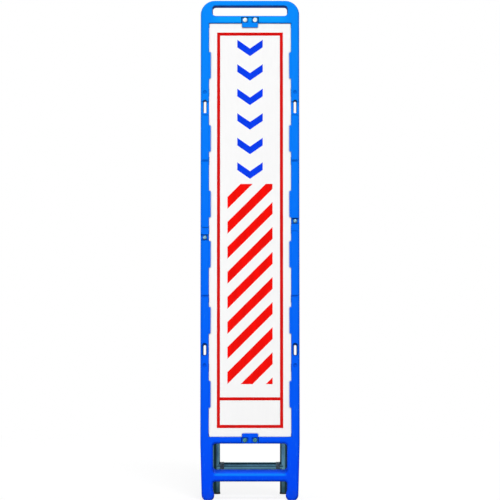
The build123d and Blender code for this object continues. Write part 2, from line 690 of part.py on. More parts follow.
with BuildPart() as leg_top_plugs:
    with BuildSketch(STAND.offset(LEG_ABOVE_AXLE)):
        with GridLocations(LEG_SPREAD * 2, 0, 2, 1):
            Circle(TUBE_RADIUS)
    extrude(amount=PLUG_HEAD)
    chamfer(leg_top_plugs.faces().sort_by(Axis(STAND.origin, STAND.z_dir))[-2:].edges(), length=PLUG_EDGE)
    with BuildSketch(STAND.offset(LEG_ABOVE_AXLE)):
        with GridLocations(LEG_SPREAD * 2, 0, 2, 1):
            Circle(TUBE_RADIUS - TUBE_WALL - RUNNING_GAP)
    extrude(amount=-PLUG_DEPTH)
save(leg_top_plugs.part, "leg_top_plugs")

# Cross tube, shaped to sit against the legs, and the collars over its ends
with BuildPart() as cross_tube:
    with BuildSketch(STAND_SIDE):
        with Locations((-CROSS_TUBE_DROP, 0)):
            Circle(TUBE_RADIUS)
            Circle(TUBE_RADIUS - TUBE_WALL, mode=Mode.SUBTRACT)
    extrude(amount=LEG_SPREAD, both=True)
    with BuildSketch(STAND.offset(-LEG_LENGTH)):
        with GridLocations(LEG_SPREAD * 2, 0, 2, 1):
            Circle(TUBE_RADIUS + RUNNING_GAP)
    extrude(amount=LEG_LENGTH, mode=Mode.SUBTRACT)
save(cross_tube.part, "cross_tube")

cross_point = STAND.from_local_coords((0, 0, -CROSS_TUBE_DROP))
with BuildPart() as cross_tube_collars:
    for side in SIDES:
        seat = cross_seat(cross_point, side * (leg_inner_face - RUNNING_GAP), -side)
        add(make_ring(seat, COLLAR_RADIUS, TUBE_RADIUS + RUNNING_GAP, COLLAR_LENGTH))
    rims = cross_tube_collars.edges().filter_by(GeomType.CIRCLE).group_by(SortBy.RADIUS)[-1]
    fillet(rims, radius=COLLAR_ROUND)
save(cross_tube_collars.part, "cross_tube_collars")


def make_stay_arm(side):
    """Flat arm with a pivot hole and a slot that stops on the stud when the stand is open."""
    near = side * (STAY_INNER + STAY_THICKNESS / 2) - STAY_THICKNESS / 2
    slot_half = STUD_RADIUS + SLOT_SIDE_GAP
    slot_low = STAY_FOLDED_REACH - STUD_RADIUS - SLOT_SIDE_GAP
    slot_high = STAY_REACH + STUD_RADIUS + SLOT_STOP_GAP
    arm_low = -STAY_WIDTH / 2
    arm_high = slot_high + STAY_END
    with BuildPart() as arm:
        with BuildSketch(STAY.offset(near)):
            with Locations(((arm_low + arm_high) / 2, 0)):
                SlotOverall(arm_high - arm_low, STAY_WIDTH)
            with Locations(((slot_low + slot_high) / 2, 0)):
                SlotOverall(slot_high - slot_low, slot_half * 2, mode=Mode.SUBTRACT)
            Circle(STUD_RADIUS + RUNNING_GAP, mode=Mode.SUBTRACT)
        extrude(amount=STAY_THICKNESS)
    return arm.part


def make_stay_bracket(side):
    """Angle bracket on the stile's back, whose ear carries the stud."""
    middle = side * (STAY_BRACKET_INNER + STAY_BRACKET_WIDTH / 2)
    ear_start = side * (STAY_BRACKET_INNER + STAY_BRACKET_PLATE / 2) - STAY_BRACKET_PLATE / 2
    foot_back = -FRAME_DEPTH - STAY_BRACKET_PLATE
    with BuildPart() as bracket:
        with BuildSketch(BOARD.offset(-FRAME_DEPTH)):
            with Locations((middle, STUD_HEIGHT)):
                RectangleRounded(STAY_BRACKET_WIDTH, STAY_BRACKET_HEIGHT, STAY_BRACKET_CORNER)
            with Locations(*[place for place in bracket_screw_places if place[0] * side > 0]):
                Circle(BRACKET_SCREW_RADIUS + RUNNING_GAP, mode=Mode.SUBTRACT)
        extrude(amount=-STAY_BRACKET_PLATE)
        with BuildSketch(BOARD_SIDE.offset(ear_start)):
            Polygon(
                (STUD_HEIGHT - EAR_ROOT_HALF_HEIGHT, foot_back),
                (STUD_HEIGHT + EAR_ROOT_HALF_HEIGHT, foot_back),
                (STUD_HEIGHT + EAR_HALF_HEIGHT, -AXLE_DEPTH),
                (STUD_HEIGHT - EAR_HALF_HEIGHT, -AXLE_DEPTH),
                align=None,
            )
            with Locations((STUD_HEIGHT, -AXLE_DEPTH)):
                Circle(EAR_HALF_HEIGHT)
                Circle(STUD_RADIUS + RUNNING_GAP, mode=Mode.SUBTRACT)
        extrude(amount=STAY_BRACKET_PLATE)
    return bracket.part


for side, name in zip(SIDES, ("left", "right")):
    save(make_stay_arm(side), f"{name}_stay_arm")
    save(make_stay_bracket(side), f"{name}_stay_bracket")

with BuildPart() as stay_bracket_screws:
    for x, height in bracket_screw_places:
        add(
            make_screw(
                back_seat(x, height, -FRAME_DEPTH - STAY_BRACKET_PLATE),
                BRACKET_SCREW_HEAD_RADIUS,
                BRACKET_SCREW_HEAD_HEIGHT,
                BRACKET_SCREW_RADIUS,
                BRACKET_SCREW_LENGTH,
                cross_recess=True,
            )
        )
save(stay_bracket_screws.part, "stay_bracket_screws")

# Studs: the head is inside, the shoulder runs in the slot and the nut is outside the ear
stud_head_seat = STAY_INNER - FACE_GAP
ear_outer_face = STAY_BRACKET_INNER + STAY_BRACKET_PLATE
stud_length = ear_outer_face + NUT_HEIGHT + BOLT_PAST_NUT - stud_head_seat

with BuildPart() as stay_studs:
    for side in SIDES:
        add(
            make_screw(
                cross_seat(STUD_POINT, side * stud_head_seat, -side),
                STUD_HEAD_RADIUS,
                STUD_HEAD_HEIGHT,
                STUD_RADIUS,
                stud_length,
                cross_recess=False,
            )
        )
save(stay_studs.part, "stay_studs")

with BuildPart() as stay_stud_nuts:
    for side in SIDES:
        add(make_nut(cross_seat(STUD_POINT, side * ear_outer_face, side), STUD_RADIUS))
save(stay_stud_nuts.part, "stay_stud_nuts")

# Pivots of the stays: bolts through the legs, spacers outside them and nuts inside
pivot_head_seat = STAY_INNER + STAY_THICKNESS + FACE_GAP
pivot_length = pivot_head_seat - leg_inner_face + NUT_HEIGHT + BOLT_PAST_NUT
spacer_length = STAY_INNER - FACE_GAP - leg_outer_face

with BuildPart() as stay_pivot_bolts:
    for side in SIDES:
        add(
            make_screw(
                cross_seat(PIVOT_POINT, side * pivot_head_seat, side),
                STUD_HEAD_RADIUS,
                PIVOT_HEAD_HEIGHT,
                STUD_RADIUS,
                pivot_length,
                cross_recess=False,
            )
        )
save(stay_pivot_bolts.part, "stay_pivot_bolts")

with BuildPart() as stay_pivot_spacers:
    for side in SIDES:
        seat = cross_seat(PIVOT_POINT, side * leg_outer_face, side)
        add(make_ring(seat, STUD_HEAD_RADIUS, STUD_RADIUS + RUNNING_GAP, spacer_length))
save(stay_pivot_spacers.part, "stay_pivot_spacers")

with BuildPart() as stay_pivot_nuts:
    for side in SIDES:
        add(make_nut(cross_seat(PIVOT_POINT, side * leg_inner_face, -side), STUD_RADIUS))
save(stay_pivot_nuts.part, "stay_pivot_nuts")
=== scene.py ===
import json
from math import ceil, cos, pi, radians, sin

import bmesh
import bpy
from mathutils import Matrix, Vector


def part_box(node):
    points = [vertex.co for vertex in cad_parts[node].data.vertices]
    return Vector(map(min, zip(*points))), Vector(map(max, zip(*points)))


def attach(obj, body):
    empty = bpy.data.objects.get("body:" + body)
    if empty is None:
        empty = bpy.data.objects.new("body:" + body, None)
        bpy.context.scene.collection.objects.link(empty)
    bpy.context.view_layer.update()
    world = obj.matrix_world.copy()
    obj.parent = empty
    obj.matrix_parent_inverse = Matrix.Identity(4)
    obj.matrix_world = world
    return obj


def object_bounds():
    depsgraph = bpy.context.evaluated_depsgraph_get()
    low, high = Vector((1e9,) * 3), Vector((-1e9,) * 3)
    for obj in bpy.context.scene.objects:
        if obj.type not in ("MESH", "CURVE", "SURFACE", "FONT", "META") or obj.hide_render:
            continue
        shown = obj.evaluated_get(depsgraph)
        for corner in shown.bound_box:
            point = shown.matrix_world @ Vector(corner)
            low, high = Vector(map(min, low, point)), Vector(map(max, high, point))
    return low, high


# Standing signboard: materials, print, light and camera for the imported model.
# Metres, +Z up, the sign faces -Y. Heights in the print are measured up the board from the film's
# lower edge, all others from the floor.

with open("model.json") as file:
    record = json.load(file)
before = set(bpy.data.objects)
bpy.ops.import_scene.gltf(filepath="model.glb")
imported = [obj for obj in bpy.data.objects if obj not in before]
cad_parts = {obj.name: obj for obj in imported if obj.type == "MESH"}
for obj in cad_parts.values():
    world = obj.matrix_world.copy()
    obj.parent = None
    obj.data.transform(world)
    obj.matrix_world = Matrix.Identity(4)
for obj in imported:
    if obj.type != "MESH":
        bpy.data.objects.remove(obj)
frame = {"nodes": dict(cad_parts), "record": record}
cad_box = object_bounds()

# Board and film
BOARD_LEAN = radians(6.0)
FILM_THICKNESS = 0.0004

# Print on the film: a border, a divider under the sign's field, and plain bands of colour in it
INK_THICKNESS = 0.00015
CORNER_MERGE = INK_THICKNESS / 10
BORDER_WIDTH = 0.223
BORDER_BOTTOM = 0.0295
BORDER_TOP = 1.3695
BORDER_LINE = 0.0105
DIVIDER_BOTTOM = 0.1223
CHEVRONS = 6
CHEVRON_WIDTH = 0.086
CHEVRON_STROKE = 0.026
CHEVRON_POINT = 0.030
CHEVRONS_BOTTOM = 0.871
CHEVRON_STEP = 0.0836
STRIPE_PANEL_WIDTH = 0.152
STRIPE_PANEL_BOTTOM = 0.177
STRIPES = 8
STRIPE_STEP = 0.0846
STRIPE_STROKE = 0.0400

# Top rail: half the gap between the frame's sides, the rail's middle, half its height, and the lengths
# over which its painted highlight fades out at its edges and ends
SIDES_HALF_GAP = 0.1195
RAIL_HEIGHT = 1.619
RAIL_HALF = 0.010
RAIL_EDGE_FADE = 0.004
RAIL_END_FADE = 0.04

# Lower bar: the fade at its ends, its front edge and how far the painted highlight reaches from it,
# and its top and how far the painted shade reaches from there
BAR_END_FADE = 0.01
BAR_EDGE_HEIGHT = 0.0852
BAR_EDGE_DEPTH = -0.125
HIGHLIGHT_BELOW = 0.006
HIGHLIGHT_ABOVE = 0.008
HIGHLIGHT_FULL_DEPTH = 0.008
HIGHLIGHT_END_DEPTH = 0.016
HIGHLIGHT_MOST = 0.8
BAR_TOP_HEIGHT = 0.1030
BAR_BACK_DEPTH = -0.083
SHADE_BACK_FADE = 0.005
SHADE_RISE = 0.012
SHADE_TOP_FADE = 0.01
SHADE_MOST = 0.9

# Blue plastic: gloss, roughness, what varies its colour (sizes, ranges, greatest shares, painted crevice
# shade) and relief
BLUE_GLOSS = 0.03
BLUE_ROUGHNESS = (0.55, 0.68)
BLUE_ROUGHNESS_PATCH = 0.03
MOTTLE_SIZE = 0.16
MOTTLE_RANGE = (0.35, 0.65)
MOTTLE_MOST = 0.07
SCRATCH_WIDTH = 0.004
SCRATCH_STRETCH = (1.0, 1.0, 0.06)
SCRATCH_RANGE = (0.62, 0.72)
SCRATCH_MOST = 0.28
DUST_HEIGHT = 0.055
DUST_FULL_HEIGHT = 0.002
DUST_PATCH = 0.012
DUST_RANGE = (0.45, 0.75)
DUST_MOST = 0.30
CREVICE_SHADE_REACH = 0.05
CREVICE_SHADE_MOST = 0.85
CREVICE_SHADE_LOW_HEIGHT = 0.08
CREVICE_SHADE_LOW_SHARE = 0.15
MOULD_WAVE = 0.05
MOULD_WAVE_DEPTH = 0.0012
MOULD_GRAIN = 0.0011
MOULD_GRAIN_DEPTH = 0.00012

# White sheet: gloss, roughness, lengthwise drag, painted shade line at its edges, and relief
SHEET_GLOSS = 0.35
PLATE_ROUGHNESS = 0.50
FILM_ROUGHNESS = 0.38
SHEET_ROUGHNESS_SWING = 0.05
SHEET_ROUGHNESS_PATCH = 0.08
DRAG_WIDTH = 0.006
DRAG_STRETCH = (1.0, 1.0, 0.03)
DRAG_PALER = 1.04
SHEET_SHADE_REACH = 0.005
SHEET_SHADE_MOST = 0.6
SHEET_WAVE = 0.25
SHEET_WAVE_DEPTH = 0.0015
SHEET_GRAIN = 0.0022
SHEET_GRAIN_DEPTH = 0.00003

# Ink: gloss, roughness, the pull of the squeegee, and relief
INK_GLOSS = 0.04
INK_ROUGHNESS = (0.36, 0.46)
PULL_SIZE = 0.02
PULL_STRETCH = (1.0, 1.0, 0.2)
PULL_RANGE = (0.35, 0.65)
PULL_DEEPER = 0.86
INK_GRAIN = 0.0016
INK_GRAIN_DEPTH = 0.00003

# Galvanised tube: gloss, roughness, zinc spangle, streaks along the tube, painted shade near the floor,
# relief, and painted bands of reflection and shade, with each wave's width across the tube and a place where
# it is brightest
TUBE_GLOSS = 0.08
TUBE_METAL = 0.35
TUBE_ROUGHNESS = (0.16, 0.26)
TUBE_ROUGHNESS_RANGE = (0.1, 0.9)
SPANGLE_SIZE = 0.007
SPANGLE_SWING = (0.85, 1.15)
STREAK_WIDTH = 0.009
STREAK_SWING = (0.7, 1.3)
STREAK_ALONG_X = (0.02, 1.0, 1.0)
STREAK_ALONG_Z = (1.0, 1.0, 0.02)
TUBE_FLOOR_SHADE_RANGE = (0.02, 0.08)
TUBE_FLOOR_SHADE_SHARE = 0.25
TUBE_GRAIN = 0.003
TUBE_GRAIN_DEPTH = 0.0001
BAND_RANGE = (0.15, 0.85)
# Where the tube faces sideways, its painted bands are lifted towards this share of the light colour
SIDE_BAND_RANGE = (0.88, 1.0)
SIDE_BAND_MOST = 0.55
LEG_TUBE_WAVES = [(0.0222, 0.1135)]
CROSS_TUBE_WAVES = [(0.0105, 0.0906), (0.036, 0.0888)]

# Plated steel: brushed lines, and clouds that vary its colour and roughness
BRUSH_WIDTH = 0.002
BRUSH_STRETCH = (1.0, 0.15, 1.0)
BRUSH_DEPTH = 0.00005
CLOUD_SIZE = 0.012
CLOUD_SWING = (0.8, 2.0)
CLOUD_SMOOTHER = 0.05
CLOUD_ROUGHER = 0.10

# Dark paint, plastic and rubber: patches of dust or wear, and the grain's depth as a share of its size
PATCH_SIZE = 0.010
PATCH_RANGE = (0.42, 0.72)
PATCH_ROUGHNESS_SWING = 0.06
GRAIN_DEPTH_SHARE = 0.15

# All materials: where most values of a noise lie, and how open a place is where painted crevice shade begins
# and is full
NOISE_RANGE = (0.3, 0.7)
CREVICE_RANGE = (0.97, 0.55)

# Colours, linear
WHITE = (1.0, 1.0, 1.0, 1.0)
# Frame blue at the floor and at the top: the change between them is painted light
BLUE_LOW = (0.0015, 0.064, 0.95, 1.0)
BLUE_HIGH = (0.0035, 0.265, 0.97, 1.0)
BLUE_SHEEN = (0.10, 0.45, 1.0, 1.0)
BLUE_WORN = (0.03, 0.26, 0.95, 1.0)
# Painted shade in the frame's crevices and at the back of the lower bar
BLUE_PAINTED_SHADE = (0.001, 0.036, 0.24, 1.0)
RAIL_PAINTED_HIGHLIGHT = (0.004, 0.345, 0.98, 1.0)
BAR_EDGE_PAINTED_HIGHLIGHT = (0.006, 0.28, 0.98, 1.0)
FOOT_DUST = (0.05, 0.10, 0.30, 1.0)
INK_RED = (0.72, 0.004, 0.003, 1.0)
INK_BRIGHT_RED = (0.97, 0.0025, 0.0002, 1.0)
INK_BLUE = (0.0004, 0.050, 0.92, 1.0)
FILM_WHITE = (0.91, 0.91, 0.91, 1.0)
PLATE_WHITE = (0.80, 0.81, 0.80, 1.0)
SHEET_PAINTED_SHADE = (0.10, 0.22, 0.26, 1.0)
# Tube: the dark and light ends of its painted bands of reflection and shade
TUBE_DARK = (0.009, 0.032, 0.041, 1.0)
TUBE_LIGHT = (0.162, 0.386, 0.493, 1.0)
TUBE_SHEEN = (0.20, 0.36, 0.42, 1.0)
ZINC_DARK = (0.42, 0.44, 0.46, 1.0)
ZINC_LIGHT = (0.60, 0.61, 0.62, 1.0)
SCREW_DARK = (0.08, 0.14, 0.15, 1.0)
SCREW_LIGHT = (0.32, 0.42, 0.44, 1.0)
# Clip screws: a painted highlight on the top ones and painted shade on the bottom ones
SCREW_LIT_PALE = (0.40, 0.48, 0.48, 1.0)
SCREW_LIT_WHITE = (0.74, 0.80, 0.80, 1.0)
SCREW_SHADED_DULL = (0.012, 0.060, 0.070, 1.0)
SCREW_SHADED_GREEN = (0.035, 0.180, 0.185, 1.0)
BOLT_DARK = (0.05, 0.13, 0.19, 1.0)
BOLT_LIGHT = (0.18, 0.36, 0.46, 1.0)
COLLAR_DARK = (0.024, 0.046, 0.062, 1.0)
COLLAR_LIGHT = (0.100, 0.160, 0.200, 1.0)
BLACK_PLASTIC = (0.014, 0.015, 0.017, 1.0)
BLACK_PLASTIC_LIGHT = (0.030, 0.031, 0.034, 1.0)
RUBBER = (0.011, 0.011, 0.012, 1.0)
RUBBER_DUSTY = (0.055, 0.052, 0.048, 1.0)
FLOOR_WHITE = (0.22, 0.22, 0.22, 1.0)

# Camera: far and low, as the photograph sees the board nearly straight on
VIEW_DISTANCE = 12.0
VIEW_RISE = radians(1.0)
VIEW_HEIGHT = 1.6884
VIEW_LIFT = -0.0037
SENSOR = 36.0

# Light: the world's strength, the floor, and square lamps with their sides in metres and power in watts
AMBIENT = 0.22
FLOOR_SIZE = 120.0
FLOOR_GLOW = 0.80
FLOOR_FADE_START = 0.8
FLOOR_FADE_END = 3.0
KEY_PLACE = (1.6, -10.0, 11.0)
KEY_SIZE = 4.0
KEY_POWER = 1160.0
FILL_PLACE = (-2.2, -5.5, 0.6)
FILL_AIM = (0.0, 0.0, 0.3)
FILL_SIZE = 2.4
FILL_POWER = 176.0
TOP_PLACE = (0.0, 0.7, 4.6)
TOP_SIZE = 3.0
TOP_POWER = 25.0
BACK_PLACE = (0.8, 3.8, 2.8)
BACK_SIZE = 2.6
BACK_POWER = 90.0


# Places on the board

ACROSS = Vector((1.0, 0.0, 0.0))
UP = Vector((0.0, sin(BOARD_LEAN), cos(BOARD_LEAN)))
OUT = Vector((0.0, -cos(BOARD_LEAN), sin(BOARD_LEAN)))
BOARD_MIDDLE = sum(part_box("moulded_frame"), Vector()) / 2
film_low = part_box("sign_film")[0]
FILM_EDGE = Vector((0.0, film_low.y, film_low.z + FILM_THICKNESS * sin(BOARD_LEAN)))


def on_film(x, height):
    """The place on the film's face at x, a height up it."""
    return FILM_EDGE + ACROSS * x + UP * height


# Nodes of a material or the world


def feed(tree, socket, value):
    """Links another node's output to a socket, or sets the socket to a plain value."""
    if isinstance(value, bpy.types.NodeSocket):
        tree.links.new(value, socket)
    else:
        socket.default_value = value


def add_node(tree, kind, **inputs):
    """A new node with its inputs fed by name, where an underscore stands for a space."""
    node = tree.nodes.new(kind)
    for name, value in inputs.items():
        feed(tree, node.inputs[name.replace("_", " ")], value)
    return node


def calculate(tree, operation, *values):
    """The result of an operation on numbers, such as MULTIPLY."""
    node = tree.nodes.new("ShaderNodeMath")
    node.operation = operation
    for socket, value in zip(node.inputs, values):
        feed(tree, socket, value)
    return node.outputs[0]


# Materials


class Surface:
    """A procedural material: a Principled shader and the nodes that feed it, in metres on the object."""

    def __init__(self, name, specular=0.5, metallic=0.0):
        self.material = bpy.data.materials.new(name)
        self.material.use_nodes = True
        self.tree = self.material.node_tree
        self.shader = self.tree.nodes["Principled BSDF"]
        self.set("Specular IOR Level", specular)
        self.set("Metallic", metallic)
        coordinates = self.add("ShaderNodeTexCoord").outputs
        self.place = coordinates["Object"]
        self.facing = coordinates["Normal"]
        self.normal = None

    def set(self, socket_name, value):
        feed(self.tree, self.shader.inputs[socket_name], value)

    def add(self, kind, **inputs):
        return add_node(self.tree, kind, **inputs)

    def along_axes(self, vector):
        """A vector's outputs X, Y and Z."""
        return self.add("ShaderNodeSeparateXYZ", Vector=vector).outputs

    def noise(self, size, detail=2.0, stretch=(1.0, 1.0, 1.0)):
        """Clouds from 0 to 1 with patches of that size; a stretch under 1 lengthens them along that axis."""
        place = self.add("ShaderNodeMapping", Vector=self.place, Scale=stretch).outputs["Vector"]
        return self.add("ShaderNodeTexNoise", Vector=place, Scale=1.0 / size, Detail=detail).outputs["Fac"]

    def cells(self, size, output="Color"):
        """Crystal-like patches of that size."""
        return self.add("ShaderNodeTexVoronoi", Vector=self.place, Scale=1.0 / size).outputs[output]

    def bands(self, axis, waves):
        """Soft painted bands of light and shade across an axis: the mean of waves, each with its width and
        brightest place.
        """
        total = 0.0
        for width, peak in waves:
            # The wave texture repeats every pi / 10 at scale 1, and is darkest where its phase is 0.
            scale = pi / 10 / width
            phase = pi - peak / width * 2 * pi
            node = self.add("ShaderNodeTexWave", Vector=self.place, Scale=scale, Phase_Offset=phase)
            node.bands_direction = axis
            total = calculate(self.tree, "ADD", total, node.outputs["Fac"])
        return calculate(self.tree, "DIVIDE", total, len(waves))

    def between(self, value, low, high, first=0.0, second=1.0):
        """Goes from first to second as the value goes from low to high."""
        node = self.add(
            "ShaderNodeMapRange", Value=value, From_Min=low, From_Max=high, To_Min=first, To_Max=second
        )
        return node.outputs["Result"]

    def spread(self, noise, first, second):
        """Goes from first to second over most of a noise's values."""
        return self.between(noise, *NOISE_RANGE, first, second)

    def absolute(self, value):
        return calculate(self.tree, "ABSOLUTE", value)

    def larger(self, first, second):
        return calculate(self.tree, "MAXIMUM", first, second)

    def times(self, product, *others):
        for other in others:
            product = calculate(self.tree, "MULTIPLY", product, other)
        return product

    def blend(self, share, first, second):
        """The first colour at share 0, the second at share 1."""
        node = self.tree.nodes.new("ShaderNodeMix")
        node.data_type = "RGBA"
        sockets = {socket.identifier: socket for socket in node.inputs}
        feed(self.tree, sockets["Factor_Float"], share)
        feed(self.tree, sockets["A_Color"], first)
        feed(self.tree, sockets["B_Color"], second)
        results = {socket.identifier: socket for socket in node.outputs}
        return results["Result_Color"]

    def shade_in_crevices(self, reach, most):
        """Painted shade: rises to the most in corners and gaps that are closed in within the reach."""
        open_share = self.add("ShaderNodeAmbientOcclusion", Distance=reach).outputs["AO"]
        return self.between(open_share, *CREVICE_RANGE, second=most)

    def relief(self, height, depth, strength):
        """Raises the surface by the height value times the depth, on top of earlier relief."""
        node = self.add("ShaderNodeBump", Height=height, Distance=depth, Strength=strength)
        if self.normal is not None:
            feed(self.tree, node.inputs["Normal"], self.normal)
        self.normal = node.outputs["Normal"]
        self.set("Normal", self.normal)


def scaled(colour, factor):
    """A colour made paler or deeper by a factor, no channel over 1."""
    return tuple(min(1.0, channel * factor) for channel in colour[:3]) + (1.0,)


def between_sides(surface, place, fade):
    """1 between the frame's two sides, fading out at them over that length."""
    from_middle = surface.absolute(place["X"])
    return surface.between(from_middle, SIDES_HALF_GAP + fade / 2, SIDES_HALF_GAP - fade / 2)


def rail_painted_highlight(surface, place):
    """Rises to 1 on the top rail: a painted highlight that makes it paler than the sides."""
    bottom = RAIL_HEIGHT - RAIL_HALF
    top = RAIL_HEIGHT + RAIL_HALF
    above_bottom = surface.between(place["Z"], bottom, bottom + RAIL_EDGE_FADE)
    below_top = surface.between(place["Z"], top, top - RAIL_EDGE_FADE)
    return surface.times(between_sides(surface, place, RAIL_END_FADE), above_bottom, below_top)


def bar_edge_painted_highlight(surface, place):
    """Rises to its most along the front edge of the lower bar: a painted highlight."""
    in_front = surface.between(place["Y"], BAR_EDGE_DEPTH + HIGHLIGHT_END_DEPTH, BAR_EDGE_DEPTH + HIGHLIGHT_FULL_DEPTH)
    below = surface.between(place["Z"], BAR_EDGE_HEIGHT - HIGHLIGHT_BELOW, BAR_EDGE_HEIGHT)
    above = surface.between(place["Z"], BAR_EDGE_HEIGHT + HIGHLIGHT_ABOVE, BAR_EDGE_HEIGHT, second=HIGHLIGHT_MOST)
    return surface.times(between_sides(surface, place, BAR_END_FADE), in_front, below, above)


def bar_back_painted_shade(surface, place):
    """Rises to its most at the back of the lower bar's top: painted shade."""
    on_bar = surface.between(place["Y"], BAR_BACK_DEPTH, BAR_BACK_DEPTH - SHADE_BACK_FADE)
    upwards = surface.between(place["Z"], BAR_TOP_HEIGHT - SHADE_RISE, BAR_TOP_HEIGHT, second=SHADE_MOST)
    end = BAR_TOP_HEIGHT + SHADE_TOP_FADE
    not_over = surface.between(place["Z"], end + SHADE_TOP_FADE, end)
    return surface.times(between_sides(surface, place, BAR_END_FADE), on_bar, upwards, not_over)


def foot_dust(surface, place):
    """Patches of dust on the feet, rising towards the floor."""
    near_floor = surface.between(place["Z"], DUST_HEIGHT, DUST_FULL_HEIGHT)
    patches = surface.noise(DUST_PATCH, detail=4.0)
    return surface.times(near_floor, surface.between(patches, *DUST_RANGE, second=DUST_MOST))


def frame_painted_shade(surface, place):
    """Painted shade in the frame's corners and gaps, but little of what only the floor closes in."""
    off_floor = surface.between(place["Z"], 0.0, CREVICE_SHADE_LOW_HEIGHT, first=CREVICE_SHADE_LOW_SHARE)
    return surface.times(off_floor, surface.shade_in_crevices(CREVICE_SHADE_REACH, CREVICE_SHADE_MOST))


def blue_plastic():
    """Blow-moulded frame: clear blue made paler towards the top by painted light, with a fine matt grain and
    worn feet.
    """
    surface = Surface("frame_plastic_look", specular=BLUE_GLOSS)
    surface.set("Specular Tint", BLUE_SHEEN)
    place = surface.along_axes(surface.place)
    mottle = surface.noise(MOTTLE_SIZE, detail=3.0)
    scratches = surface.noise(SCRATCH_WIDTH, detail=4.0, stretch=SCRATCH_STRETCH)
    overlays = [
        (surface.between(mottle, *MOTTLE_RANGE, second=MOTTLE_MOST), BLUE_LOW),
        (surface.between(scratches, *SCRATCH_RANGE, second=SCRATCH_MOST), BLUE_WORN),
        (foot_dust(surface, place), FOOT_DUST),
        # Painted highlight on the top rail
        (rail_painted_highlight(surface, place), RAIL_PAINTED_HIGHLIGHT),
        # Painted highlight along the lower bar's front edge
        (bar_edge_painted_highlight(surface, place), BAR_EDGE_PAINTED_HIGHLIGHT),
        # Painted shade at the back of the lower bar's top
        (bar_back_painted_shade(surface, place), BLUE_PAINTED_SHADE),
        # Painted shade in the frame's corners and gaps
        (frame_painted_shade(surface, place), BLUE_PAINTED_SHADE),
    ]
    # Painted light: the blue grows paler towards the top
    colour = surface.blend(surface.between(place["Z"], 0.0, cad_box[1].z), BLUE_LOW, BLUE_HIGH)
    for share, overlay in overlays:
        colour = surface.blend(share, colour, overlay)
    surface.set("Base Color", colour)
    patches = surface.noise(BLUE_ROUGHNESS_PATCH, detail=3.0)
    surface.set("Roughness", surface.spread(patches, *BLUE_ROUGHNESS))
    surface.relief(surface.noise(MOULD_WAVE), MOULD_WAVE_DEPTH, strength=0.25)
    surface.relief(surface.noise(MOULD_GRAIN, detail=1.0), MOULD_GRAIN_DEPTH, strength=0.5)
    return surface.material


def sheet_white(name, colour, roughness):
    """White sheet with a faint lengthwise drag from its making, and a line of painted shade where it meets
    the frame.
    """
    surface = Surface(name, specular=SHEET_GLOSS)
    drag = surface.noise(DRAG_WIDTH, stretch=DRAG_STRETCH)
    white = surface.blend(drag, colour, scaled(colour, DRAG_PALER))
    # Painted shade on the sheet where the frame closes it in
    edge = surface.shade_in_crevices(SHEET_SHADE_REACH, SHEET_SHADE_MOST)
    surface.set("Base Color", surface.blend(edge, white, SHEET_PAINTED_SHADE))
    patches = surface.noise(SHEET_ROUGHNESS_PATCH, detail=3.0)
    smoothest = roughness - SHEET_ROUGHNESS_SWING
    roughest = roughness + SHEET_ROUGHNESS_SWING
    surface.set("Roughness", surface.spread(patches, smoothest, roughest))
    surface.relief(surface.noise(SHEET_WAVE), SHEET_WAVE_DEPTH, strength=0.2)
    surface.relief(surface.cells(SHEET_GRAIN, "Distance"), SHEET_GRAIN_DEPTH, strength=0.4)
    return surface.material


def ink(name, colour):
    """Screen-printed ink: even colour with the slight unevenness of the squeegee's pull."""
    surface = Surface(name, specular=INK_GLOSS)
    pull = surface.noise(PULL_SIZE, detail=3.0, stretch=PULL_STRETCH)
    deeper = scaled(colour, PULL_DEEPER)
    surface.set("Base Color", surface.blend(surface.between(pull, *PULL_RANGE), colour, deeper))
    surface.set("Roughness", surface.spread(pull, *INK_ROUGHNESS))
    surface.relief(surface.noise(INK_GRAIN, detail=1.0), INK_GRAIN_DEPTH, strength=0.5)
    return surface.material


def galvanised_tube(name, streak_stretch, across, waves):
    """Hot-dip galvanised tube: zinc spangle, streaks, and painted bands of reflection and shade along its
    front, back and sides.
    """
    surface = Surface(name, specular=TUBE_GLOSS, metallic=TUBE_METAL)
    surface.set("Specular Tint", TUBE_SHEEN)
    height = surface.along_axes(surface.place)["Z"]
    sideways = surface.absolute(surface.along_axes(surface.facing)[across])
    # Painted reflection and shade in bands, lifted where the tube faces sideways
    bands = surface.between(surface.bands(across, waves), *BAND_RANGE)
    side_band = surface.between(sideways, *SIDE_BAND_RANGE, second=SIDE_BAND_MOST)
    spangle = surface.add("ShaderNodeRGBToBW", Color=surface.cells(SPANGLE_SIZE)).outputs["Val"]
    sparkle = surface.between(spangle, 0.0, 1.0, *SPANGLE_SWING)
    streaks = surface.spread(surface.noise(STREAK_WIDTH, stretch=streak_stretch), *STREAK_SWING)
    # Painted shade: the tube darkens towards the floor
    clear_of_floor_shade = surface.between(height, *TUBE_FLOOR_SHADE_RANGE, first=TUBE_FLOOR_SHADE_SHARE)
    share = surface.times(surface.larger(bands, side_band), sparkle, streaks, clear_of_floor_shade)
    surface.set("Base Color", surface.blend(share, TUBE_DARK, TUBE_LIGHT))
    surface.set("Roughness", surface.between(spangle, *TUBE_ROUGHNESS_RANGE, *TUBE_ROUGHNESS))
    surface.relief(surface.noise(TUBE_GRAIN, detail=3.0), TUBE_GRAIN_DEPTH, strength=0.4)
    return surface.material


def plated(name, dark, light, roughness, metallic):
    """Zinc-plated steel with a brushed unevenness."""
    surface = Surface(name, metallic=metallic)
    brushed = surface.noise(BRUSH_WIDTH, detail=4.0, stretch=BRUSH_STRETCH)
    cloud = surface.noise(CLOUD_SIZE)
    share = surface.times(brushed, surface.spread(cloud, *CLOUD_SWING))
    surface.set("Base Color", surface.blend(share, dark, light))
    surface.set("Roughness", surface.spread(cloud, roughness - CLOUD_SMOOTHER, roughness + CLOUD_ROUGHER))
    surface.relief(brushed, BRUSH_DEPTH, strength=0.35)
    return surface.material


